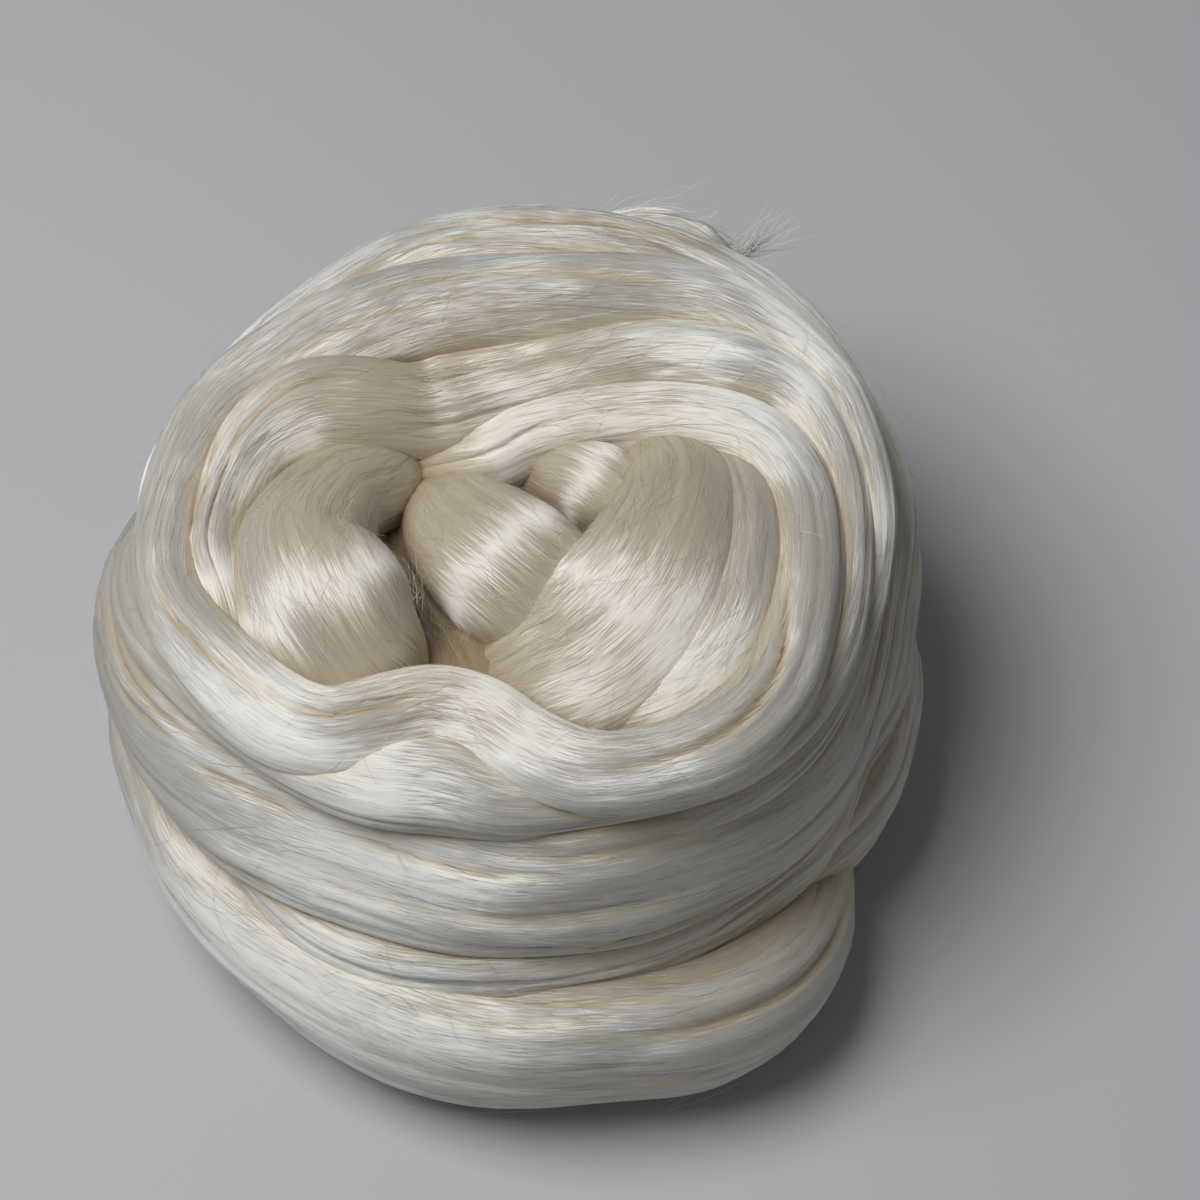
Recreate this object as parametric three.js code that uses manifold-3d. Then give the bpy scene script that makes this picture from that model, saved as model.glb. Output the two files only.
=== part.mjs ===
// A ball of silk roving: one long combed band of fibres, folded at the heart and wound round itself.
// The origin is the middle of the flat spot it rests on, +Z is up and -Y is the front.
import * as THREE from "three";
import { mergeVertices } from "three/addons/utils/BufferGeometryUtils.js";
import Module from "manifold-3d";

// Sizes of the ball in millimetres, its loose end at the back apart
const ballWidth = 158;
const ballDepth = 158;
const ballHeight = 100;

// Height of the ball's widest level
const ballWaist = 42;

// The roving where it lies widest and where it lies fullest
const rovingWidth = 42;
const rovingThickness = 26;

// The packed middle that the turns lie on, and how far its round underside is pressed flat
const heartWidth = 126;
const heartDepth = 122;
const heartHeight = 74;
const heartForward = 2;
const pressedFlat = 2;

// How square the band's section and the ball's outline are, 2 being an ellipse
const bandFullness = 2.7;
const ballFullness = 2.6;

// Facets
const foldStep = 5;
const turnStep = 9;
const bandSides = 10;
const heartSides = 28;

const silk = new THREE.MeshStandardMaterial({ color: 0xe9e2d2, roughness: 0.42, metalness: 0 });

// Stations along each run of the band: side to side, front to back and up, then width and thickness.
// All are in hundredths: of half the ball's width and depth, of its height, and of the roving's own sizes.
// The loose end is a thin tongue that comes out between two turns at the back and tapers away.
const folds = {
  left: [
    [-23, 35, 66, 26, 56], [-28, 22, 80, 34, 68], [-38, 11, 86, 41, 79], [-47, -4, 88, 53, 91],
    [-44, -20, 86, 63, 98], [-34, -27, 82, 63, 95], [-25, -27, 75, 53, 79], [-18, -25, 63, 31, 56],
  ],
  middle: [
    [-15, 27, 60, 35, 60], [-12, 14, 76, 42, 75], [-7, 4, 84, 60, 87], [2, -5, 83, 66, 87],
    [11, -11, 76, 61, 75], [18, -9, 64, 42, 64],
  ],
  small: [
    [4, 32, 70, 25, 48], [11, 23, 80, 35, 64], [19, 19, 83, 40, 68], [26, 15, 81, 37, 64],
    [28, 16, 70, 30, 48],
  ],
  right: [
    [31, 40, 70, 30, 64], [36, 26, 82, 42, 79], [41, 10, 88, 56, 91], [39, -6, 89, 70, 95],
    [32, -20, 86, 80, 98], [23, -29, 80, 78, 98], [11, -32, 73, 66, 87], [3, -25, 62, 49, 72],
  ],
  rim: [
    [38, 34, 80, 20, 41], [50, 22, 86, 32, 56], [55, 5, 88, 40, 68], [55, -13, 89, 42, 72],
    [51, -28, 87, 42, 72], [42, -37, 83, 42, 68], [29, -40, 78, 40, 64], [16, -37, 70, 32, 56],
    [7, -26, 60, 23, 45],
  ],
  tip: [
    [4, -10, 66, 16, 33], [1, -19, 74, 20, 41], [-1, -27, 76, 23, 41], [3, -31, 73, 20, 37],
    [8, -28, 64, 16, 29],
  ],
  looseEnd: [
    [-46, 63, 66, 31, 25], [-25, 78, 72, 39, 28], [-3, 92, 76, 45, 26], [18, 97, 80, 44, 23],
    [35, 97, 83, 37, 18], [49, 93, 82, 20, 9],
  ],
};

const turns = {
  inner: [
    [-34, 33, 62, 26, 48], [-18, 27, 75, 29, 52], [-4, 26, 83, 31, 56], [7, 30, 86, 34, 56],
    [25, 32, 88, 34, 60], [44, 31, 89, 37, 60], [59, 24, 89, 42, 64], [67, 11, 88, 42, 68],
    [69, -7, 88, 42, 68], [67, -24, 88, 42, 68], [62, -41, 87, 42, 68], [50, -55, 87, 42, 68],
    [34, -61, 86, 39, 60], [19, -62, 86, 39, 56], [6, -57, 87, 41, 56], [-4, -49, 87, 42, 56],
    [-14, -46, 87, 42, 56], [-25, -49, 87, 42, 52], [-38, -52, 87, 41, 52], [-52, -46, 86, 44, 56],
    [-71, -22, 86, 41, 64], [-75, -5, 86, 39, 68], [-69, 28, 88, 42, 68], [-58, 42, 89, 45, 68],
    [-26, 60, 91, 56, 68], [14, 65, 91, 53, 68], [50, 63, 89, 45, 64], [73, 42, 87, 34, 60],
    [79, 27, 86, 31, 56], [81, 11, 84, 31, 56], [80, -1, 80, 31, 56], [77, -14, 76, 34, 56],
    [64, -42, 71, 37, 56], [37, -59, 70, 34, 52], [1, -62, 70, 23, 41],
  ],
  second: [
    [-48, -20, 66, 26, 48], [-57, -23, 80, 29, 56], [-61, -16, 85, 29, 60], [-64, -5, 87, 29, 64],
    [-62, 8, 88, 31, 64], [-57, 22, 89, 37, 64], [-45, 33, 89, 48, 68], [-32, 36, 88, 53, 68],
    [-1, 41, 88, 48, 64], [32, 48, 89, 48, 64], [54, 45, 89, 42, 64], [67, 38, 88, 34, 60],
    [74, 25, 87, 29, 56], [77, 9, 86, 29, 56], [73, -23, 82, 34, 56], [65, -38, 80, 37, 56],
    [55, -49, 78, 34, 56], [38, -57, 78, 34, 56], [21, -61, 79, 37, 56], [3, -64, 80, 42, 56],
    [-13, -62, 82, 48, 56], [-28, -60, 82, 45, 56], [-44, -52, 80, 39, 56], [-58, -42, 78, 34, 52],
    [-71, -29, 77, 31, 48], [-79, -14, 75, 31, 48], [-82, 1, 72, 31, 48], [-77, 16, 66, 26, 45],
    [-67, 28, 60, 23, 37],
  ],
  shoulder: [
    [-62, -8, 48, 31, 45], [-70, 4, 57, 39, 52], [-76, 16, 65, 48, 56], [-76, 30, 71, 50, 60],
    [-66, 46, 76, 50, 60], [-43, 69, 82, 50, 60], [-16, 84, 85, 50, 60], [23, 85, 85, 50, 60],
    [50, 78, 82, 50, 60], [72, 60, 77, 56, 60], [85, 33, 70, 61, 60], [84, -2, 62, 67, 64],
    [73, -34, 58, 72, 64], [63, -48, 58, 72, 64], [46, -61, 60, 75, 64], [25, -70, 62, 75, 64],
    [0, -71, 62, 77, 64], [-22, -66, 62, 80, 64], [-45, -56, 61, 83, 64], [-65, -42, 59, 80, 64],
    [-79, -26, 57, 77, 64], [-86, -7, 55, 72, 64], [-87, 15, 48, 72, 68], [-77, 43, 40, 75, 72],
    [-51, 68, 35, 77, 72], [-13, 81, 32, 77, 72], [25, 78, 33, 77, 72], [57, 62, 34, 77, 72],
    [77, 34, 34, 77, 72], [90, 10, 32, 75, 72], [88, -7, 29, 75, 72], [83, -23, 27, 72, 72],
    [71, -38, 27, 69, 68], [56, -50, 28, 64, 64], [40, -60, 30, 56, 60], [18, -66, 31, 50, 56],
    [-10, -67, 32, 39, 48],
  ],
  belt: [
    [-59, -8, 37, 34, 48], [-73, 10, 42, 48, 60], [-75, 30, 47, 61, 66], [-68, 53, 52, 72, 68],
    [-43, 75, 56, 72, 68], [-10, 84, 57, 72, 68], [25, 81, 57, 72, 68], [56, 66, 56, 69, 68],
    [76, 43, 54, 67, 64], [90, 24, 52, 67, 64], [89, 7, 48, 61, 60], [86, -9, 45, 56, 60],
    [78, -25, 43, 50, 56], [71, -42, 42, 45, 56], [57, -57, 41, 42, 56], [38, -70, 41, 39, 56],
    [15, -77, 41, 39, 56], [-6, -79, 41, 39, 56], [-25, -76, 42, 37, 56], [-43, -68, 42, 34, 52],
    [-58, -51, 42, 29, 48], [-71, -35, 42, 29, 48], [-80, -12, 40, 26, 45],
  ],
  bottom: [
    [63, -5, 12, 61, 72], [68, -35, 14, 69, 75], [67, -56, 16, 83, 87], [59, -72, 19, 94, 91],
    [45, -81, 20, 99, 95], [23, -84, 21, 102, 95], [-1, -85, 21, 102, 95], [-24, -78, 21, 102, 95],
    [-47, -64, 22, 99, 91], [-65, -45, 22, 94, 87], [-77, -24, 24, 88, 79], [-84, -3, 22, 83, 75],
    [-78, 26, 16, 75, 72], [-62, 51, 12, 72, 72], [-35, 71, 11, 69, 72], [0, 78, 11, 69, 72],
    [35, 70, 11, 69, 72], [62, 46, 11, 69, 72], [70, 14, 10, 69, 72], [58, -20, 10, 69, 72],
    [22, -45, 9, 72, 72], [-18, -44, 9, 72, 72], [-45, -18, 9, 72, 72], [-43, 18, 9, 72, 72],
    [-14, 42, 9, 72, 72], [22, 36, 9, 72, 72], [33, 6, 9, 69, 72], [14, -12, 9, 56, 64],
  ],
};

const wasm = await Module();
wasm.setup();

// Signed power, for sections and outlines that are squarer than an ellipse
function squared(value, fullness) {
  return Math.sign(value) * Math.abs(value) ** (2 / fullness);
}

// The way out of the ball at a point
function outward(at) {
  const half = new THREE.Vector3(ballWidth / 2, ballDepth / 2, ballHeight - ballWaist);
  const away = at.clone().sub(new THREE.Vector3(0, 0, ballWaist)).divide(half);
  const grow = (value) => Math.sign(value) * Math.abs(value) ** (ballFullness - 1);
  return new THREE.Vector3(grow(away.x), grow(away.y), grow(away.z)).divide(half).normalize();
}

// A closed geometry with only positions as a solid
function solid(geometry) {
  geometry.deleteAttribute("normal");
  geometry.deleteAttribute("uv");
  const merged = mergeVertices(geometry, 1e-4);
  const vertProperties = new Float32Array(merged.attributes.position.array);
  const triVerts = new Uint32Array(merged.index.array);
  return new wasm.Manifold(new wasm.Mesh({ numProp: 3, vertProperties, triVerts }));
}

// A run of the band through its stations. The rings of a unit sphere are laid along the route,
// each one as wide and as thick as the band is there, and its poles close the rounded ends.
function band(stations, stepLength) {
  const route = new THREE.CatmullRomCurve3(stations.map((s) => s.at), false, "centripetal");
  const length = route.getLength();
  const rings = Math.ceil(length / stepLength) + 2;
  const geometry = new THREE.SphereGeometry(1, bandSides, rings);
  const position = geometry.attributes.position;
  const endLength = stations[0].width / 2;
  const perRing = bandSides + 1;
  for (let ring = 0; ring <= rings; ring++) {
    const along = ring / rings;
    const place = route.getUtoTmapping(along) * (stations.length - 1);
    const from = stations[Math.min(Math.floor(place), stations.length - 2)];
    const to = stations[Math.min(Math.floor(place) + 1, stations.length - 1)];
    const part = place - stations.indexOf(from);
    const nearEnd = Math.min(1, (Math.min(along, 1 - along) * length) / endLength);
    const round = Math.sqrt(1 - (1 - nearEnd) ** 2);
    const halfWidth = (THREE.MathUtils.lerp(from.width, to.width, part) / 2) * round;
    const halfThickness = (THREE.MathUtils.lerp(from.thickness, to.thickness, part) / 2) * round;
    const middle = route.getPointAt(along);
    const tangent = route.getTangentAt(along);
    const across = new THREE.Vector3().crossVectors(tangent, outward(middle)).normalize();
    const out = new THREE.Vector3().crossVectors(across, tangent);
    for (let side = 0; side < perRing; side++) {
      const angle = (side / bandSides) * 2 * Math.PI;
      const point = middle.clone();
      point.addScaledVector(across, -squared(Math.cos(angle), bandFullness) * halfWidth);
      point.addScaledVector(out, -squared(Math.sin(angle), bandFullness) * halfThickness);
      position.setXYZ(ring * perRing + side, point.x, point.y, point.z);
    }
  }
  return solid(geometry);
}

// Stations in millimetres from a row of shares
function station([side, back, up, width, thickness]) {
  return {
    at: new THREE.Vector3(
      (side / 100) * (ballWidth / 2),
      (back / 100) * (ballDepth / 2),
      (up / 100) * ballHeight,
    ),
    width: (width / 100) * rovingWidth,
    thickness: (thickness / 100) * rovingThickness,
  };
}

// The packed middle, a round body squared like the ball
function heart() {
  const geometry = new THREE.SphereGeometry(1, heartSides, heartSides / 2);
  const position = geometry.attributes.position;
  for (let i = 0; i < position.count; i++) {
    const x = position.getX(i);
    const y = position.getY(i);
    const z = position.getZ(i);
    const power = (value) => Math.abs(value) ** ballFullness;
    const reach = (power(x) + power(y) + power(z)) ** (-1 / ballFullness);
    position.setXYZ(
      i,
      x * reach * (heartWidth / 2),
      -z * reach * (heartDepth / 2) + heartForward,
      y * reach * (heartHeight / 2) + heartHeight / 2 - pressedFlat,
    );
  }
  return solid(geometry);
}

// All runs joined, the hidden hollows between them filled and the underside pressed flat
let body = heart();
for (const rows of Object.values(folds)) {
  body = body.add(band(rows.map(station), foldStep));
}
for (const rows of Object.values(turns)) {
  body = body.add(band(rows.map(station), turnStep));
}
const shells = body.decompose();
body = shells.reduce((most, shell) => (shell.volume() > most.volume() ? shell : most));

const floorSize = 2 * (ballWidth + ballDepth);
const floor = new THREE.BoxGeometry(floorSize, floorSize, ballHeight);
floor.translate(0, 0, -ballHeight / 2);
body = body.subtract(solid(floor));

const mesh = body.getMesh();
const geometry = new THREE.BufferGeometry();
geometry.setAttribute("position", new THREE.BufferAttribute(mesh.vertProperties, 3));
geometry.setIndex(new THREE.BufferAttribute(mesh.triVerts, 1));
geometry.computeVertexNormals();

const roving = new THREE.Mesh(geometry, silk);
roving.name = "silk_roving";

const ball = new THREE.Group();
ball.add(roving);

export default ball;
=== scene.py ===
import math
import bpy
import numpy as np
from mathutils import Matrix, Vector
from mathutils.bvhtree import BVHTree


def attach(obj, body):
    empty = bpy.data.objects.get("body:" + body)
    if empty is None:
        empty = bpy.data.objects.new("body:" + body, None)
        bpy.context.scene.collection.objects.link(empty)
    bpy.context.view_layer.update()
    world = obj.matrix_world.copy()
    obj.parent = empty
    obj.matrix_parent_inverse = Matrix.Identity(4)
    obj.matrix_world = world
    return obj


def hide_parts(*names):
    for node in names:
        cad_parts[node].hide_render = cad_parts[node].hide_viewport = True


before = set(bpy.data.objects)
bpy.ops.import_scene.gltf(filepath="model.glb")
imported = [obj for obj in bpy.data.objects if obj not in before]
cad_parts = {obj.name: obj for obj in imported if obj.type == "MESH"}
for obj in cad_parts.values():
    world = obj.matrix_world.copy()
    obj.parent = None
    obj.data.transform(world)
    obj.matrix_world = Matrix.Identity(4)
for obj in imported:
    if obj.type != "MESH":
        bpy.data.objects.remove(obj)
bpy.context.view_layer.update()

mm = 0.001
bpy.ops.object.select_all(action="DESELECT")
print("frame loaded")


def unit(v):
    return v / np.maximum(np.linalg.norm(v, axis=-1, keepdims=True), 1e-12)


# the ball as a whole, in mm: the way out of it sets which side of the band is its face
ball = {"width": 158, "depth": 158, "height": 100, "waist": 42, "fullness": 2.6}


def outward(at):
    half = np.array([ball["width"] / 2, ball["depth"] / 2, ball["height"] - ball["waist"]])
    away = (at - np.array([0, 0, ball["waist"]])) / half
    return unit(np.sign(away) * np.abs(away) ** (ball["fullness"] - 1) / half)


# seeded noise: it repeats after so many waves, and each use has its own offset from the run's seed
noise = {"cells": 97, "row": 0.5, "drift": 11, "fade": 31, "swell": 51, "roll": 71, "width": 73,
         "thickness": 75, "split": 91}


def waver(seed, x, y):  # smooth noise from -1 to 1, about one wave per unit
    table = np.random.default_rng(seed).uniform(-1, 1, (noise["cells"], noise["cells"]))
    x, y = np.broadcast_arrays(np.asarray(x, float), np.asarray(y, float))
    left, low = np.floor(x).astype(int), np.floor(y).astype(int)
    fx, fy = x - left, y - low
    fx, fy = fx * fx * (3 - 2 * fx), fy * fy * (3 - 2 * fy)
    pick = lambda i, j: table[(left + i) % noise["cells"], (low + j) % noise["cells"]]
    near = pick(0, 0) * (1 - fx) + pick(1, 0) * fx
    far = pick(0, 1) * (1 - fx) + pick(1, 1) * fx
    return near * (1 - fy) + far * fy


def waveAlong(seed, along, length):  # noise that only changes along a run
    return waver(seed, along / length, noise["row"])


# a route is a smooth curve through its stations
route = {"samples": 40, "fewestSteps": 8, "leastGap": 1e-6}


def smoothRoute(stations, step):  # even samples of x, y, z and any sizes after them
    rows = np.array(stations, float)
    rows = np.vstack([2 * rows[0] - rows[1], rows, 2 * rows[-1] - rows[-2]])
    gap = lambda a, b: max(np.linalg.norm((b - a)[:3]), route["leastGap"]) ** 0.5
    samples = []
    for p0, p1, p2, p3 in zip(rows, rows[1:], rows[2:], rows[3:]):
        t0, t1 = 0.0, gap(p0, p1)
        t2 = t1 + gap(p1, p2)
        t3 = t2 + gap(p2, p3)
        t = np.linspace(t1, t2, route["samples"], endpoint=False)[:, None]
        mix = lambda a, b, ta, tb: (tb - t) / (tb - ta) * a + (t - ta) / (tb - ta) * b
        a1, a2, a3 = mix(p0, p1, t0, t1), mix(p1, p2, t1, t2), mix(p2, p3, t2, t3)
        b1, b2 = mix(a1, a2, t0, t2), mix(a2, a3, t1, t3)
        samples.append(mix(b1, b2, t1, t2))
    line = np.vstack(samples + [rows[-2][None]])
    way = np.concatenate([[0], np.cumsum(np.linalg.norm(np.diff(line[:, :3], axis=0), axis=1))])
    count = max(route["fewestSteps"], int(round(way[-1] / step)))
    along = np.linspace(0, way[-1], count + 1)
    return along, np.stack([np.interp(along, way, line[:, k]) for k in range(line.shape[1])], 1)


# the band's cross section, walked round from the middle of its hidden side
section = {"fullness": 2.3, "sides": 112, "spread": 1.14, "fineSteps": 1441, "faceShare": 0.82,
           "faceFade": (5, 5.5)}


def roundedBox(angles):  # how far across and how far out the section is at each angle
    power = 2 / section["fullness"]
    cosine = np.sign(np.cos(angles)) * np.abs(np.cos(angles)) ** power
    sine = np.sign(np.sin(angles)) * np.abs(np.sin(angles)) ** power
    return cosine, sine


def sectionAngles(aspect):  # angles at even steps of the way round, and the share of it, 0 mid-face
    fine = np.linspace(-math.pi / 2, 1.5 * math.pi, section["fineSteps"])
    x, y = roundedBox(fine)
    way = np.concatenate([[0], np.cumsum(np.hypot(np.diff(x * aspect), np.diff(y)))])
    share = np.linspace(-1, 1, section["sides"] + 1)
    return np.interp((share + 1) / 2 * way[-1], way, fine), share


# sub-bundles of the combed fibres: (width across, longest wave along, depth or rise), all in mm
bundles = {"grooves": [(8.5, 90, 0.6), (3.6, 60, 0.22), (1.9, 40, 0.08)],
           "swells": [(9, 24, 0.5), (5, 11, 0.12)], "sway": 3.4, "swayLength": 52, "wander": 0.35,
           "wanderWidths": 2.5, "sharpness": 3, "fade": 1.3, "apart": 7.3}


def swayAt(seed, along):  # the fibres swing from side to side along the band
    return bundles["sway"] * waveAlong(seed, along, bundles["swayLength"])


def bundleHeight(seed, along, across):
    drift = across + swayAt(seed, along)
    height = np.zeros(np.broadcast(along, across).shape)
    for k, (width, length, depth) in enumerate(bundles["grooves"]):
        wander = waver(seed + noise["drift"] + k, along / length, across / (bundles["wanderWidths"] * width))
        place = drift / width + bundles["wander"] * wander
        cell = place - np.floor(place)
        groove = np.abs(2 * cell - 1) ** bundles["sharpness"]
        bundle = np.floor(place + 0.5) * bundles["apart"]
        fade = 0.5 + 0.5 * waver(seed + noise["fade"] + k, along / length, bundle)
        height = height - depth * groove * np.clip(fade * bundles["fade"], 0, 1)
    for k, (width, length, rise) in enumerate(bundles["swells"]):
        height = height + rise * waver(seed + noise["swell"] + k, along / length, drift / width)
    return height


# long thin splits where the fibres part, in mm
splits = {"perMm2": 0.003, "length": (25, 85), "depth": (0.4, 1.5), "width": (0.7, 1.4), "slope": 0.06,
          "across": 0.65, "wander": 1.2, "wanderLength": 38, "apart": 3.7, "taper": 0.35, "seedStep": 101,
          "seedStart": 7}


def splitDepth(seed, along, across, wide):
    rng = np.random.default_rng(seed * splits["seedStep"] + splits["seedStart"])
    depth = np.zeros(np.broadcast(along, across).shape)
    for k in range(int(along[-1, 0] * wide * splits["perMm2"])):
        middle = rng.uniform(0, along[-1, 0])
        side = rng.uniform(-splits["across"], splits["across"]) * wide
        length, deep, half = (rng.uniform(*splits[name]) for name in ("length", "depth", "width"))
        slope = rng.normal(0, splits["slope"])
        rows = np.abs(along[:, 0] - middle) < length / 2
        s = along[rows] - middle
        wander = waver(seed + noise["split"], along[rows] / splits["wanderLength"], k * splits["apart"])
        line = side + slope * s + splits["wander"] * wander
        ends = np.clip((length / 2 - np.abs(s)) / (splits["taper"] * length), 0, 1)
        trough = np.exp(-((across - line) / half) ** 2)
        depth[rows] = np.maximum(depth[rows], deep * ends ** 2 * (3 - 2 * ends) * trough)
    return depth


def gridNormals(grid):
    return unit(np.cross(np.gradient(grid, axis=1), np.gradient(grid, axis=0)))


def settle(grid):  # the seam is closed, and nothing goes below the floor
    grid[:, -1] = grid[:, 0]
    grid[:, :, 2] = np.maximum(grid[:, :, 2], 0)


# the band rolls from side to side and varies in size along its way, in radians, shares and mm
vary = {"roll": 0.2, "rollLength": 45, "width": 0.06, "widthLength": 30, "thickness": 0.08,
        "thicknessLength": 26, "turnRamp": 1.6}


def layRun(run):
    along, rows = smoothRoute(run["stations"], run["step"])
    at, wide, thick = rows[:, :3], rows[:, 3] * run.get("spread", section["spread"]), rows[:, 4]
    length, seed, bundle = along[-1], run["seed"], run.get("bundle", 1)
    wideWave = waveAlong(seed + noise["width"], along, vary["widthLength"])
    thickWave = waveAlong(seed + noise["thickness"], along, vary["thicknessLength"])
    wide = wide * (1 + vary["width"] * wideWave)
    thick = thick * (1 + vary["thickness"] * thickWave)
    nearEnd = np.clip(np.minimum(along, length - along) / (wide[0] / 2), 0, 1)
    closing = np.sqrt(1 - (1 - nearEnd) ** 2)
    tangent = unit(np.gradient(at, axis=0))
    across = unit(np.cross(tangent, outward(at)))
    out = np.cross(across, tangent)
    roll = vary["roll"] * bundle * waveAlong(seed + noise["roll"], along, vary["rollLength"])
    roll = roll + math.radians(run.get("turn", 0)) * np.clip(along / length * vary["turnRamp"], 0, 1)
    cosRoll, sinRoll = np.cos(roll)[:, None], np.sin(roll)[:, None]
    across, out = across * cosRoll + out * sinRoll, out * cosRoll - across * sinRoll
    angles, share = sectionAngles(float(np.mean(wide) / np.mean(thick)))
    cosine, sine = roundedBox(angles)
    sideways = cosine[None, :] * (wide * closing / 2)[:, None]
    upwards = sine[None, :] * (thick * closing / 2)[:, None]
    grid = at[:, None, :] - across[:, None, :] * sideways[:, :, None] + out[:, None, :] * upwards[:, :, None]
    faceWidth = float(np.mean(wide) + np.mean(thick)) * section["faceShare"]
    q = share * faceWidth
    normal = gridNormals(grid)
    full, fall = section["faceFade"]
    facing = np.clip(full - fall * np.abs(share), 0, 1)[None, :] * closing[:, None]
    height = bundleHeight(seed, along[:, None], q[None, :]) * facing * bundle
    split = splitDepth(seed, along[:, None], q[None, :], faceWidth) * facing * run.get("split", 1)
    height = height - split
    for x, y, z, rise, reach in run.get("ridges", []):  # a kink across the band
        middle = along[np.argmin(np.linalg.norm(at - np.array([x, y, z]), axis=1))]
        height = height + rise * np.exp(-((along - middle) / reach) ** 2)[:, None] * facing
    grid = grid + normal * height[:, :, None]
    settle(grid)
    return {"grid": grid, "normal": gridNormals(grid), "along": along, "q": q, "seed": seed,
            "faceWidth": faceWidth, "split": split, "press": run.get("press", 1),
            "shade": run.get("shade", 0), "shadeShare": run.get("shadeShare", 1)}


# runs of the one long band: x, y, z of its middle, then width and thickness, all in mm
foldLook = {"step": 1.2, "press": 0.7, "bundle": 0.35, "split": 0.5, "spread": 1}
foldedMiddle = {
    "left": {**foldLook, "seed": 3, "spread": 1.04, "stations": [
        (-18, 28, 66, 10, 14), (-22.2, 17, 80, 13, 17), (-30, 8.8, 86.5, 17, 20),
        (-34.8, -3, 88, 24.5, 23), (-31.8, -13.6, 87, 29.5, 25), (-27.6, -20.2, 83, 27, 24),
        (-24, -21.4, 75.5, 22, 20), (-22, -18.4, 63, 14, 14)]},
    "middle": {**foldLook, "seed": 4, "stations": [
        (-12, 21, 60, 14, 15), (-9.4, 11.4, 75, 17, 19), (-5.2, 3, 81.8, 24.5, 22),
        (1.4, -4, 83.4, 27.5, 22), (8.8, -8.8, 78.6, 26, 20), (15.2, -8, 66, 18, 16)]},
    "small": {**foldLook, "seed": 5, "stations": [
        (5, 25.3, 68, 9, 12), (10.4, 18.4, 79, 13, 15), (16, 15, 83, 16, 17), (21, 12, 81, 15, 16),
        (22.5, 12.6, 70, 12, 12)]},
    "right": {**foldLook, "seed": 6, "stations": [
        (24.5, 31.6, 65, 12, 16), (28.5, 20.5, 77.5, 17, 19), (32.5, 8, 86.5, 23, 23),
        (30.5, -5, 89, 29, 24), (25.5, -15.5, 86.2, 33, 25), (17.5, -22.5, 80.2, 33, 25),
        (8.5, -25.5, 74.2, 29.5, 24), (1.5, -24.5, 67, 24, 21), (-1, -19, 57, 17, 16)]},
    "rim": {**foldLook, "seed": 14, "stations": [
        (30.4, 26.9, 72, 8, 10), (39.5, 17.3, 83, 13, 14), (43, 3.9, 87.5, 14, 17),
        (42.6, -10.2, 88, 14.5, 18), (39.4, -21.9, 86, 15, 18), (32.6, -29.2, 82, 15, 17),
        (23.2, -31.7, 77, 14, 16), (12.6, -29.4, 70, 13, 14), (5.4, -20.9, 60, 9, 11)]},
}

# what shows deep between the folds; shade sets at least so much painted crease shade in their colour
packedFolds = {
    "bed": {**foldLook, "seed": 16, "bundle": 1, "split": 1, "shade": 0.6, "stations": [
        (-20, 16, 62, 14, 12), (-19.5, 7, 71, 24, 13), (-16.5, -4, 71.5, 27, 13),
        (-12.5, -14, 70, 26, 13), (-9, -21.5, 72, 24, 13), (-6, -28, 75, 18, 12), (-4, -33, 74, 12, 10)]},
    "crevice": {**foldLook, "seed": 17, "shade": 0.8, "stations": [
        (-4, 23, 58, 12, 10), (3, 18, 70, 18, 12), (9, 10, 72, 20, 12), (16, 4, 66, 16, 10)]},
}

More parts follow.
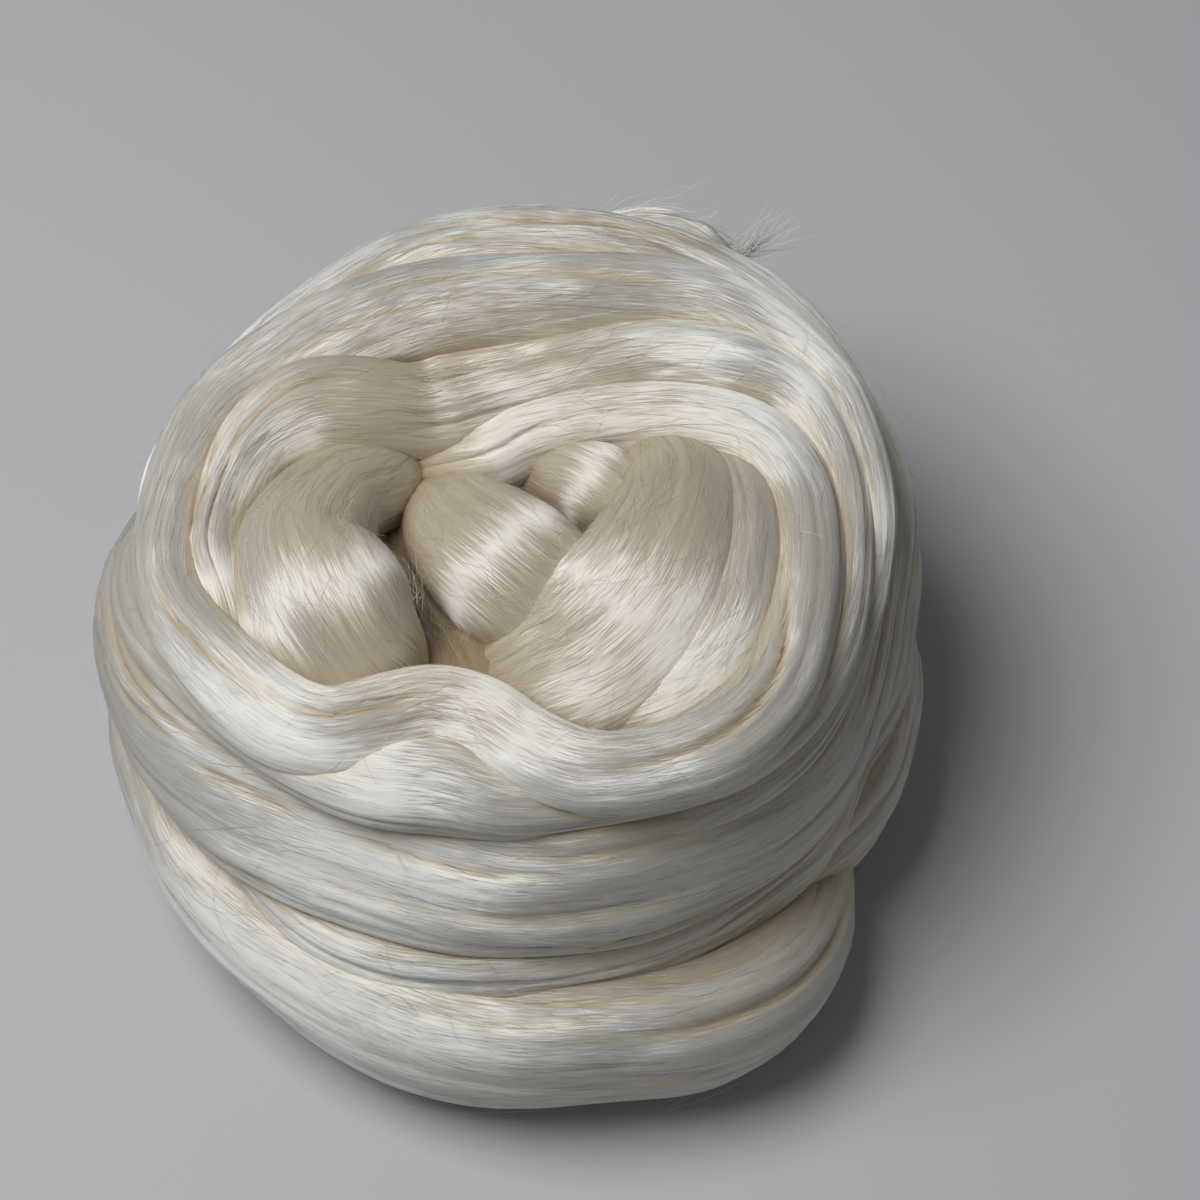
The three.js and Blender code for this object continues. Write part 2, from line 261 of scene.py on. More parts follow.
upperTurns = {
    "inner": {"seed": 7, "step": 2.5, "spread": 1.05, "bundle": 0.8, "stations": [
        (-27, 26, 62, 9, 12), (-14, 21.5, 75, 10, 13), (-3, 20.5, 83, 11, 14), (5.5, 23.7, 86, 11, 14),
        (19.8, 25.3, 88, 10.5, 15), (34.8, 24.5, 89, 11.5, 15), (46.6, 19, 89, 13, 16),
        (53, 8.7, 88, 13.6, 17), (54.5, -5.5, 88, 13.6, 17), (53, -19, 88, 13.6, 17),
        (49, -32.4, 87, 14, 17), (39.5, -43.5, 87, 15, 17), (27, -48.2, 86.5, 14, 15),
        (15, -49, 86.5, 14, 14), (4.7, -44.8, 87, 14.5, 14), (-3.2, -38.8, 86.6, 15, 14),
        (-11, -36.6, 86.6, 15, 14), (-19.8, -39, 86.8, 15, 13), (-30, -41.2, 86.8, 14.6, 13),
        (-41, -36.3, 86.5, 15.5, 14), (-56, -17.4, 86, 12, 16), (-59.2, -4, 86, 11.5, 17),
        (-54.5, 22, 88, 12.5, 17), (-45.8, 33.2, 89, 14.5, 17), (-20.5, 47.4, 91, 20, 17),
        (11, 51.4, 91, 19, 17), (39.5, 49.8, 89, 16, 16), (59.2, 34, 87, 10, 15),
        (64.4, 21.3, 86, 9, 14), (66.2, 8.7, 84, 9, 14), (65.2, -0.8, 80, 9, 14),
        (62.4, -11, 76, 10, 14), (50.6, -33.2, 71, 13, 14), (29.2, -46.6, 70, 12, 13),
        (0.8, -49, 70, 8, 10)]},
    "second": {"seed": 8, "step": 2.5, "spread": 1.05, "bundle": 0.9,
               "ridges": [(-11, 30.4, 88, 0.7, 4)], "stations": [
        (-38, -15.8, 66, 9, 12), (-45, -18.2, 80, 9, 14), (-48.2, -12.6, 85, 9, 15),
        (-50.6, -4, 87, 8.8, 16), (-49, 6.3, 88, 9.5, 16), (-45, 17.4, 90, 12.5, 16),
        (-35.6, 25.4, 91.2, 18, 18), (-25.3, 28, 89.6, 19, 18), (-14, 29.4, 87, 18, 16),
        (-0.8, 32.4, 88, 17, 16), (25.3, 38, 89, 17, 16), (42.7, 35.6, 89, 15, 16),
        (53.6, 30, 88, 10.5, 15), (59.4, 19.8, 87, 8.5, 14), (61.8, 7, 86, 8, 14),
        (59, -18.2, 82, 10, 14), (52.4, -30.6, 80, 11.5, 14), (43.1, -39.1, 78.5, 12, 14),
        (30.1, -45, 78.5, 12, 14), (16.4, -48.2, 79, 13, 14), (2.4, -50.5, 80.5, 15, 14),
        (-9.9, -48.9, 82, 17, 14), (-22.3, -47.2, 81.5, 16, 14), (-35, -40.9, 80, 14, 14),
        (-46.1, -32.9, 78.5, 12, 13), (-55.7, -23, 77, 12, 12), (-62.6, -11.3, 75.5, 13, 13),
        (-64.6, 1, 73.5, 14, 14), (-60.5, 13, 70, 13, 13), (-52, 22, 63, 10, 10)]},
}

outerTurns = {
    "shoulder": {"seed": 9, "step": 2.6, "bundle": 1.5, "stations": [
        (-49, -6, 48, 11, 11), (-55.5, 3, 57, 14, 13), (-60, 13, 65, 19, 14), (-60, 23.4, 71, 20, 15),
        (-52, 36.6, 76, 18, 15), (-33.8, 54.4, 81.5, 18, 15), (-12.6, 66, 85, 18, 15),
        (18.2, 67.2, 85, 18, 15), (39.5, 61.6, 82, 18, 15), (57, 47.4, 77, 20, 15),
        (67.2, 26, 70, 22, 15), (66.4, -1.6, 62, 24, 16), (57.7, -27, 58, 26, 16),
        (49.8, -38, 58, 26, 16), (36.3, -48.2, 60, 27, 16), (19.8, -55.3, 62, 27, 16),
        (0, -56, 62, 28, 16), (-17.4, -52, 62, 29, 16), (-35.6, -44.2, 61, 30, 16),
        (-51.4, -33.2, 59, 29, 16), (-62.4, -20.5, 57, 28, 16), (-68, -5.5, 55, 26, 16),
        (-68.6, 12, 48, 26, 17), (-61, 34, 40, 27, 18), (-40.3, 53.7, 35, 28, 18),
        (-10.3, 64, 32, 28, 18), (19.8, 61.6, 33, 28, 18), (45, 49, 34, 28, 18), (60.8, 27, 34, 28, 18),
        (71, 8, 32, 27, 18), (69.5, -5.5, 29, 27, 18), (65.6, -18.2, 27, 26, 18), (56, -30, 27, 25, 17),
        (44.2, -39.5, 28, 23, 16), (31.6, -47.4, 30, 20, 15), (14, -52, 31, 18, 14),
        (-8, -53, 32, 14, 12)]},
    "belt": {"seed": 10, "step": 2.6, "bundle": 1.5, "stations": [
        (-47, -6, 37, 12, 12), (-57.5, 8, 41.5, 17, 15), (-59.6, 24, 47, 22, 16.5),
        (-53.7, 42, 52, 26, 17), (-34, 59.2, 56, 26, 17), (-8, 66.4, 57, 26, 17), (19.8, 64, 57, 26, 17),
        (44.2, 52, 56, 25, 17), (60, 34, 54, 24, 16), (71, 19, 52, 24, 16), (70.3, 5.5, 48, 22, 15),
        (68, -7, 45, 20, 15), (61.6, -19.8, 43, 18, 14), (56, -33.4, 41.5, 16, 14),
        (45, -45, 41, 15, 14), (30, -55.4, 41, 14, 14), (12, -61, 41, 14, 14), (-4.4, -62.6, 41, 14, 14),
        (-20, -60.4, 41.5, 13, 14), (-34, -53.4, 42, 12, 13), (-45.8, -40.3, 42, 10, 12),
        (-56, -27.7, 42, 10, 12), (-63.2, -9.5, 40, 9, 11)]},
}

baseTurns = {
    "bottom": {"seed": 12, "step": 2.6, "bundle": 1.3, "stations": [
        (49.8, -4, 12, 22, 18), (53.5, -27.5, 14, 25, 19), (52.8, -44.4, 16.5, 30, 22),
        (46.4, -56.8, 19, 34, 23), (35.2, -63.6, 20.5, 36, 24), (18.4, -66.2, 21, 37, 24),
        (-0.8, -66.8, 21, 37, 24), (-18.8, -61.6, 21, 37, 24), (-36.8, -50.2, 21.5, 36, 23),
        (-51.6, -35.8, 22.5, 34, 22), (-61, -19.2, 23.5, 32, 20), (-66.2, -2.4, 22.5, 30, 19),
        (-61.6, 20.5, 16, 27, 18), (-49, 40.3, 12, 26, 18), (-27.7, 56, 11, 25, 18),
        (0, 61.6, 11, 25, 18), (27.7, 55.3, 11, 25, 18), (49, 36.3, 11, 25, 18), (55.3, 11, 10, 25, 18),
        (45.8, -15.8, 10, 25, 18), (17.4, -35.6, 9, 26, 18), (-14.2, -34.8, 9, 26, 18),
        (-35.6, -14.2, 9, 26, 18), (-34, 14.2, 9, 26, 18), (-11, 33.2, 9, 26, 18),
        (17.4, 28.4, 9, 26, 18), (26, 4.7, 9, 25, 18), (11, -9.5, 9, 20, 16)]},
}

looseEnd = {
    # the loose end takes only a quarter of the painted crease shade
    "tuft": {"seed": 13, "step": 1.5, "bundle": 0.5, "turn": 62, "shadeShare": 0.25, "stations": [
        (-36, 50, 66, 11, 6), (-18, 62, 69, 12, 6), (0, 70, 72, 12, 5), (14, 73.6, 75.6, 13, 4.2),
        (26, 75.2, 78.2, 14, 3.4), (34, 74.2, 78.8, 12.5, 2.6), (40, 72.2, 78.4, 8.5, 1.8),
        (44.5, 71, 78.2, 3.5, 0.8)]},
}

groups = {"folded_middle": foldedMiddle, "packed_folds": packedFolds, "upper_turns": upperTurns,
          "outer_turns": outerTurns, "base_turns": baseTurns, "loose_end": looseEnd}
laidRuns = {name: [layRun(run) for run in runs.values()] for name, runs in groups.items()}
print("runs laid")


def bodyTree():  # every run's faces, for rays that find what lies near
    verts, faces, base = [], [], 0
    for laid in laidRuns.values():
        for one in laid:
            rings, sides = one["grid"].shape[:2]
            i, j = np.meshgrid(np.arange(rings - 1), np.arange(sides - 1), indexing="ij")
            a = (i * sides + j).ravel() + base
            faces.append(np.stack([a, a + 1, a + sides + 1, a + sides], 1))
            verts.append(one["grid"].reshape(-1, 3) * mm)
            base += rings * sides
    return BVHTree.FromPolygons(np.concatenate(verts).tolist(), np.concatenate(faces).tolist())


# how far down in a crease each place of the band lies, 0 open and 1 shut in; it is the mask for the painted
# crease shade in the silk's colour: rays lean out by degrees and reach so many metres, and where turns meet
# they swell against each other by so many mm
hollows = {"reach": 0.014, "every": (2, 3), "lift": 0.5, "leans": [(0, 1), (35, 4), (62, 8)], "smoothing": 2,
           "swell": 0.8, "swellFrom": 0.12, "swellOver": 0.5, "splitDepth": 1.4, "splitMost": 0.8}


def hollowGrid(one, tree):
    rings, sides = one["grid"].shape[:2]
    rowStep, colStep = hollows["every"]
    rows = np.unique(np.append(np.arange(0, rings, rowStep), rings - 1))
    cols = np.unique(np.append(np.arange(0, sides, colStep), sides - 1))
    at, out = one["grid"][np.ix_(rows, cols)], one["normal"][np.ix_(rows, cols)]
    along = unit(np.gradient(one["grid"], axis=0))[np.ix_(rows, cols)]
    side = np.cross(out, along)
    shut, inside, total = np.zeros(at.shape[:2]), np.zeros(at.shape[:2]), 0
    for lean, count in hollows["leans"]:
        tip = math.radians(lean)
        for k in range(count):
            turn = 2 * math.pi * (k + 0.5) / count
            way = out * math.cos(tip) + (along * math.cos(turn) + side * math.sin(turn)) * math.sin(tip)
            total += math.cos(tip)
            for i in range(len(rows)):
                for j in range(len(cols)):
                    start = Vector((at[i, j] + out[i, j] * hollows["lift"]) * mm)
                    hit, face, index, far = tree.ray_cast(start, Vector(way[i, j]), hollows["reach"])
                    if hit is not None:
                        shut[i, j] += math.cos(tip)
                        inside[i, j] += lean == 0 and face.dot(Vector(out[i, j])) > 0

    def everywhere(values):
        for _ in range(hollows["smoothing"]):
            wide = np.pad(values, 1, mode="edge")
            values = (wide[:-2, 1:-1] + wide[2:, 1:-1] + wide[1:-1, :-2] + wide[1:-1, 2:] + 2 * values) / 6
        down = np.stack([np.interp(np.arange(rings), rows, values[:, j]) for j in range(len(cols))], 1)
        return np.stack([np.interp(np.arange(sides), cols, down[i]) for i in range(rings)], 0)
    return everywhere(shut / total), everywhere(inside)


def pressTogether(one, tree):
    one["hollow"], inside = hollowGrid(one, tree)
    near = np.clip((one["hollow"] - hollows["swellFrom"]) / hollows["swellOver"], 0, 1)
    swell = one["press"] * hollows["swell"] * near * (1 - inside)
    one["grid"] = one["grid"] + one["normal"] * swell[..., None]
    settle(one["grid"])
    one["normal"] = gridNormals(one["grid"])
    # the mask for painted crease shade: the hollow, deepened in splits and by a run's own shade, less on
    # runs that take only a share
    parted = np.clip(one["split"] / hollows["splitDepth"], 0, hollows["splitMost"])
    one["hollow"] = np.maximum(np.maximum(one["hollow"], one["shade"]), parted) * one["shadeShare"]


tree = bodyTree()
for laid in laidRuns.values():
    for one in laid:
        pressTogether(one, tree)
tree = bodyTree()
print("creases measured")

runApart = 1.37  # metres between the starts of two runs in the fibre pattern


# the hollow attribute is the mask that paints crease shade and a warm glow into the silk's colour
def markHollow(mesh, values):
    values = np.asarray(values, np.float32).ravel()
    mesh.attributes.new("hollow", "FLOAT", "POINT").data.foreach_set("value", values)


def cornerPoints(mesh):  # the vertex at each corner of the faces
    corner = np.zeros(len(mesh.loops), np.int32)
    mesh.loops.foreach_get("vertex_index", corner)
    return corner


def meshFromRuns(name, laid):
    parts = []
    for one in laid:
        rings, sides = one["grid"].shape[:2]
        bpy.ops.object.select_all(action="DESELECT")
        bpy.ops.mesh.primitive_grid_add(x_subdivisions=sides - 1, y_subdivisions=rings - 1, size=1)
        piece = bpy.context.active_object
        mesh = piece.data
        mesh.vertices.foreach_set("co", (one["grid"] * mm).ravel())
        markHollow(mesh, one["hollow"])
        corner = cornerPoints(mesh)
        sway = swayAt(one["seed"], one["along"])
        uv = np.stack([(one["q"][corner % sides] + sway[corner // sides]) * mm,
                       one["along"][corner // sides] * mm + one["seed"] * runApart], 1)
        mesh.uv_layers.active.name = "fibre"
        mesh.uv_layers["fibre"].uv.foreach_set("vector", uv.astype(np.float32).ravel())
        bpy.ops.object.mode_set(mode="EDIT")
        bpy.ops.mesh.select_all(action="SELECT")
        bpy.ops.mesh.remove_doubles(threshold=1e-6)
        bpy.ops.mesh.normals_make_consistent(inside=False)
        bpy.ops.object.mode_set(mode="OBJECT")
        parts.append(piece)
    bpy.ops.object.select_all(action="DESELECT")
    for piece in parts:
        piece.select_set(True)
    bpy.context.view_layer.objects.active = parts[0]
    if len(parts) > 1:
        bpy.ops.object.join()
    piece = bpy.context.active_object
    piece.name = piece.data.name = name
    bpy.ops.object.shade_smooth()
    print(name, len(piece.data.polygons), "faces")
    return piece


pieces = {name: meshFromRuns(name, laid) for name, laid in laidRuns.items()}


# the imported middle, seen only deep between the turns, in mm
packedMiddle = {"size": (126, 122, 62), "bottom": 5, "forward": 2, "segments": 64, "rings": 32}


def packedBall():
    bpy.ops.object.select_all(action="DESELECT")
    bpy.ops.mesh.primitive_uv_sphere_add(segments=packedMiddle["segments"], ring_count=packedMiddle["rings"],
                                         radius=0.5)
    core = bpy.context.active_object
    core.name = core.data.name = "packed_middle"
    w, h, t = packedMiddle["size"]
    for v in core.data.vertices:
        d = np.array(v.co) * 2
        d = d / (np.abs(d) ** ball["fullness"]).sum() ** (1 / ball["fullness"]) / 2
        x, y = d[0] * w, d[1] * h + packedMiddle["forward"]
        z = (d[2] + 0.5) * t + packedMiddle["bottom"]
        v.co = Vector((x, y, z)) * mm
    core.data.uv_layers.active.name = "fibre"
    # painted crease shade all over, as it shows only deep between the turns
    markHollow(core.data, np.ones(len(core.data.vertices)))
    bpy.ops.object.shade_smooth()
    return core


pieces["packed_middle"] = packedBall()


# strands lie on the face of the band, each a thin closed spindle; sizes in mm
def surfaceAt(one, s, f):  # place, normal and hollow of a run at s mm along and f of the way across its face
    rings = len(one["along"]) - 1
    row = np.clip(s / one["along"][-1] * rings, 0, rings - 1e-6)
    col = np.clip((f + 1) / 2 * section["sides"], 0, section["sides"] - 1e-6)
    i, j = row.astype(int), col.astype(int)
    a, b = (row - i)[..., None], (col - j)[..., None]

    def blend(grid):
        return ((grid[i, j] * (1 - b) + grid[i, j + 1] * b) * (1 - a)
                + (grid[i + 1, j] * (1 - b) + grid[i + 1, j + 1] * b) * a)
    return blend(one["grid"]), unit(blend(one["normal"])), blend(one["hollow"][..., None])[..., 0]


# a strand is kept where most of it can be seen: lift and height in mm, reach and gap in metres
cover = {"lift": 0.5, "reach": 0.06, "gap": 0.0015, "seenShare": 0.5, "lowest": 0.6, "facingDown": -0.5}


def seenShare(points, normals, tree):  # share of each strand's points that no other turn covers
    seen = np.zeros(points.shape[:2])
    for a in range(points.shape[0]):
        for b in range(0, points.shape[1], 2):
            p = Vector((points[a, b] + normals[a, b] * cover["lift"]) * mm)
            d = Vector(normals[a, b])
            hit, face, index, far = tree.ray_cast(p, d, cover["reach"])
            seen[a, b] = 1 if hit is None or (face.dot(d) < 0 and far > cover["gap"]) else 0
    return seen[:, ::2].mean(axis=1)


# where strands may lie and how they wave: shares of the run and of the face, waves per strand, mm
strandPlace = {"longest": 0.7, "across": 0.85, "edge": 0.95, "sink": 0.06, "waves": (0.6, 2.2),
               "phase": (0, 6.3), "patternShift": 1, "seed": 21}


def layStrands(one, rng, count, look, tree):
    length, wide = one["along"][-1], one["faceWidth"]
    t = np.linspace(0, 1, look["points"])[None, :]
    span = np.minimum(rng.uniform(*look["length"], count), strandPlace["longest"] * length)[:, None]
    start = (rng.uniform(0, 1, count) * (length - span[:, 0]))[:, None]
    s = start + span * t
    spot = rng.uniform(-strandPlace["across"], strandPlace["across"], count)[:, None] * wide
    q = (spot - swayAt(one["seed"], s) + swayAt(one["seed"], start + span / 2)
         + rng.normal(0, look["slant"], count)[:, None] * (t - 0.5) * span
         + rng.normal(0, look["bow"], count)[:, None] * np.sin(math.pi * t))
    if "curl" in look:
        waves = rng.uniform(*strandPlace["waves"], count)[:, None]
        phase = rng.uniform(*strandPlace["phase"], count)[:, None]
        q = q + rng.uniform(0, look["curl"], count)[:, None] * t * np.sin(2 * math.pi * waves * t + phase)
    points, normals, shut = surfaceAt(one, s, np.clip(q / wide, -strandPlace["edge"], strandPlace["edge"]))
    # a free strand stands off at its far end
    rise = t ** 2 if look.get("free") else np.sin(math.pi * t) ** 0.5
    lift = rng.uniform(*look["lift"], count)[:, None] * rise - strandPlace["sink"]
    points = points + normals * lift[..., None]
    keep = seenShare(points, normals, tree) > cover["seenShare"]
    keep = keep & (points[..., 2].min(axis=1) > cover["lowest"])
    keep = keep & (normals[..., 2].mean(axis=1) > cover["facingDown"])
    keep = keep & (shut.max(axis=1) >= look.get("edge", 0))  # some grow only beside a crease
    width = rng.uniform(*look["width"], count)
    shift = rng.uniform(-strandPlace["patternShift"] * mm, strandPlace["patternShift"] * mm, (count, 1))
    uv = np.stack([np.broadcast_to(q[:, :1] * mm, q.shape) + shift, s * mm + one["seed"] * runApart], -1)
    lean = rng.normal(0, look["glint"], (count, 2))
    return points[keep], normals[keep], width[keep], uv[keep], shut[keep], lean[keep]


# a spindle's section as shares of its width, and how its width runs out to the tips
spindle = {"low": 0.1, "high": 0.3, "taper": 0.4, "roundness": 0.5}


def spindleMesh(name, batches):
    verts, faces, uvs, shade, deep, base = [], [], [], [], [], 0
    for points, normals, width, uv, shut, glint in batches:
        n, k = points.shape[:2]
        ends = lambda first, middle, last: np.concatenate([first, middle, last], 1)
        tangent = unit(np.gradient(points, axis=1))
        side = unit(np.cross(tangent, normals))
        up = np.cross(side, tangent)
        t = np.linspace(0, 1, k)
        taper = (width[:, None] * np.sin(math.pi * t)[None, :] ** spindle["taper"])[..., None]
        ring = np.stack([points - side * taper / 2 - up * taper * spindle["low"],
                         points + side * taper / 2 - up * taper * spindle["low"],
                         points + up * taper * spindle["high"]], 2)
        ring = ring[:, 1:-1].reshape(n, -1, 3)
        verts.append(ends(points[:, :1], ring, points[:, -1:]).reshape(-1, 3))
        # each leans its own way, to catch the light or not
        face = up + glint[:, None, :1] * tangent + glint[:, None, 1:] * side
        lean = np.stack([face - spindle["roundness"] * side, face + spindle["roundness"] * side, face], 2)
        lean = lean[:, 1:-1].reshape(n, -1, 3)
        shade.append(unit(ends(face[:, :1], lean, face[:, -1:])).reshape(-1, 3))
        deep.append(ends(shut[:, :1], np.repeat(shut[:, 1:-1], 3, axis=1), shut[:, -1:]).ravel())
        per = 3 * (k - 2) + 2
        rim = lambda r, c: 1 + 3 * r + c % 3
        quads = [(rim(r, c), rim(r + 1, c), rim(r + 1, c + 1), rim(r, c + 1))
                 for r in range(k - 3) for c in range(3)]
        tips = [(0, rim(0, c), rim(0, c + 1)) for c in range(3)]
        tips += [(per - 1, rim(k - 3, c + 1), rim(k - 3, c)) for c in range(3)]
        offset = base + np.arange(n)[:, None, None] * per
        faces += (np.array(quads)[None] + offset).reshape(-1, 4).tolist()
        faces += (np.array(tips)[None] + offset).reshape(-1, 3).tolist()
        shift = np.array([-0.5, 0.5, 0])[None, None, :] * width[:, None, None] * mm
        ringAlong = np.broadcast_to(uv[:, 1:-1, None, 1], (n, k - 2, 3))
        ringUv = np.stack([uv[:, 1:-1, None, 0] + shift, ringAlong], -1).reshape(n, -1, 2)
        uvs.append(ends(uv[:, :1], ringUv, uv[:, -1:]).reshape(-1, 2))
        base += n * per
    mesh = bpy.data.meshes.new(name)
    mesh.from_pydata((np.concatenate(verts) * mm).tolist(), [], faces)
    piece = bpy.data.objects.new(name, mesh)
    bpy.context.collection.objects.link(piece)
    # the strands carry the painted crease shade of the band under them
    markHollow(mesh, np.concatenate(deep))
    uv = np.concatenate(uvs)[cornerPoints(mesh)]
    mesh.uv_layers.new(name="fibre").uv.foreach_set("vector", uv.astype(np.float32).ravel())
    bpy.ops.object.select_all(action="DESELECT")
    piece.select_set(True)
    bpy.context.view_layer.objects.active = piece
    bpy.ops.object.shade_smooth()
    # it shades with the band under it
    mesh.normals_split_custom_set_from_vertices(np.concatenate(shade).tolist())
    print(name, len(mesh.polygons), "faces")
    return piece


# kinds of strand, in mm: slant is sideways per mm along, glint is how far the shading leans
strands = {
    "combed": {"perMm2": 0.21, "points": 7, "length": (14, 44), "width": (0.05, 0.11), "lift": (0.0, 0.16),
               "slant": 0.07, "bow": 0.5, "glint": 0.12},
    "crossing": {"perMm2": 0.07, "points": 6, "length": (6, 18), "width": (0.04, 0.08), "lift": (0.05, 0.22),
                 "slant": 0.11, "bow": 0.8, "glint": 0.14},
    "fuzz": {"perMm2": 0.02, "points": 8, "length": (5, 15), "width": (0.024, 0.04), "lift": (0.1, 1.7),
             "slant": 0.4, "bow": 1.2, "curl": 1.6, "free": True, "glint": 0.2},
    "halo": {"perMm2": 0.05, "points": 6, "length": (3, 9), "width": (0.03, 0.05), "lift": (0.4, 1.9),
             "slant": 0.9, "bow": 0.6, "curl": 0.8, "free": True, "glint": 0.2, "edge": 0.1},
    "flyaway": {"perMm2": 0.006, "points": 11, "length": (12, 40), "width": (0.04, 0.065), "lift": (0.8, 6),
                "slant": 0.3, "bow": 3, "curl": 3, "free": True, "glint": 0.2},
}
shortStrands = {"combed": {"length": (10, 24), "glint": 0.06}}
foldStrands = {**shortStrands, "fuzz": {"perMm2": 0.13, "lift": (0.3, 2.4), "width": (0.018, 0.03)},
               "halo": {"perMm2": 0.42, "width": (0.024, 0.04), "length": (4, 10), "lift": (0.5, 2.6),
                        "slant": 0.5}}
strandChanges = {"folded_middle": foldStrands, "upper_turns": {}, "outer_turns": {}, "base_turns": {},
                 "loose_end": shortStrands, "packed_folds": foldStrands}
strandRng = np.random.default_rng(strandPlace["seed"])
for name, changes in strandChanges.items():
    batches = []
    for one in laidRuns[name]:
        for kind in strands:
            look = {**strands[kind], **changes.get(kind, {})}
            count = int(one["along"][-1] * one["faceWidth"] * look["perMm2"])
            batches.append(layStrands(one, strandRng, count, look, tree))
    batches = [batch for batch in batches if len(batch[0])]
    pieces[name + "_strands"] = spindleMesh(name + "_strands", batches)


# loose fibres wander in every direction, each with its own waves
looseWaves = {"waves": (0.5, 1.6), "phase": (0, 6.3)}


def wanderOf(rng, count, t):
    waves = rng.uniform(*looseWaves["waves"], (3, count, 1))
    phase = rng.uniform(*looseWaves["phase"], (3, count, 1))
    return np.stack([np.sin(2 * math.pi * waves[k] * t + phase[k]) for k in range(3)], -1)


# the loose end frays: strands leave its sheet and spread, in mm and in shares of the sheet
fray = {"count": 480, "points": 11, "length": (12, 23), "width": (0.035, 0.07), "ahead": (0.93, 0.27, 0.24),
        "spread": 2.2, "curl": 1.2, "rise": 7, "riseWay": (0, 0.4, 0.2), "from": 0.6, "crowding": 2.4,
        "root": 8, "across": 0.5, "endGap": 0.5, "lift": 0.15, "flare": 1.5, "facing": (0, -0.3, 1),
        "patternShift": 1, "seed": 33}


def frayedEnd(one):
    rng = np.random.default_rng(fray["seed"])
    count, t = fray["count"], np.linspace(0, 1, fray["points"])[None, :]
    length = one["along"][-1]
    start = (length * (1 - fray["from"] * rng.uniform(0, 1, count) ** fray["crowding"]))[:, None]
    span = rng.uniform(*fray["length"], count)[:, None]
    s = start - fray["root"] + span * t
    f = rng.uniform(-fray["across"], fray["across"], count)[:, None] + 0 * s
    points, normals, shut = surfaceAt(one, np.minimum(s, length - fray["endGap"]), f)
    beyond = np.maximum(s - (length - fray["endGap"]), 0)
    out = (span * t).clip(fray["root"]) - fray["root"]
    share = out / np.maximum(out.max(axis=1, keepdims=True), 1)
    wander = wanderOf(rng, count, t)
    drift = rng.normal(0, 1, (count, 1, 3)) * fray["spread"] + np.array(fray["riseWay"]) * fray["rise"]
    points = (points + normals * fray["lift"] + unit(np.array(fray["ahead"])) * beyond[..., None]
              + drift * share[..., None] ** fray["flare"] + wander * fray["curl"] * share[..., None])
    width = rng.uniform(*fray["width"], count)
    shift = rng.uniform(-fray["patternShift"] * mm, fray["patternShift"] * mm, (count, 1))
    uv = np.stack([f * one["faceWidth"] * mm + shift, s * mm + one["seed"] * runApart], -1)
    facing = np.broadcast_to(unit(np.array(fray["facing"])), points.shape)
    return points, facing, width, uv, shut * 0, np.zeros((count, 2))


pieces["loose_end_frayed"] = spindleMesh("loose_end_frayed", [frayedEnd(laidRuns["loose_end"][0])])


# wisps that have come loose at the top: x, y, z in mm
wispLook = {"points": 12, "width": (0.025, 0.045), "wander": 0.9, "begin": (0, 0.35), "end": (0.6, 1),
            "step": 0.5, "patternWidth": 50, "seed": 34}
wisps = [
    {"count": 16, "spread": 1.0, "route": [
        (-19, -6, 94), (-15.4, -8.6, 94), (-14, -12.4, 91.5), (-15.6, -16.4, 88), (-18.8, -19, 85)]},
    {"count": 26, "spread": 1.2, "route": [(-8, -18, 80), (-3.5, -13, 84), (1.5, -12, 85), (6, -15, 83)]},
    {"count": 90, "spread": 1.9, "route": [
        (-19, 2, 75), (-16, -6, 76), (-13, -13, 76), (-9, -20, 77), (-4, -25, 79)]},
    {"count": 6, "spread": 0.6, "route": [
        (-46, 0.5, 92), (-42.7, 2.1, 95), (-40.1, 0.5, 96), (-37.8, -2.7, 95), (-37, -6, 96)]},
    {"count": 24, "spread": 1.4, "route": [(3, 17, 85), (8, 13, 88), (15, 10.5, 88), (22, 6, 87)]},
]


def layWisp(wisp, rng):
    along, rows = smoothRoute(wisp["route"], wispLook["step"])
    count, t = wisp["count"], np.linspace(0, 1, wispLook["points"])[None, :]
    begin = rng.uniform(*wispLook["begin"], (count, 1))
    end = rng.uniform(*wispLook["end"], (count, 1))
    at = (begin + (end - begin) * t) * along[-1]
    points = np.stack([np.interp(at, along, rows[:, k]) for k in range(3)], -1)
    wander = wanderOf(rng, count, t)
    points = points + rng.normal(0, wisp["spread"], (count, 1, 3)) + wander * wispLook["wander"]
    normals = outward(points.reshape(-1, 3)).reshape(points.shape)
    uv = np.stack([rng.uniform(0, wispLook["patternWidth"] * mm, (count, 1)) + 0 * at, at * mm], -1)
    return points, normals, rng.uniform(*wispLook["width"], count), uv, 0 * at, np.zeros((count, 2))


wispRng = np.random.default_rng(wispLook["seed"])
pieces["loose_wisps"] = spindleMesh("loose_wisps", [layWisp(wisp, wispRng) for wisp in wisps])


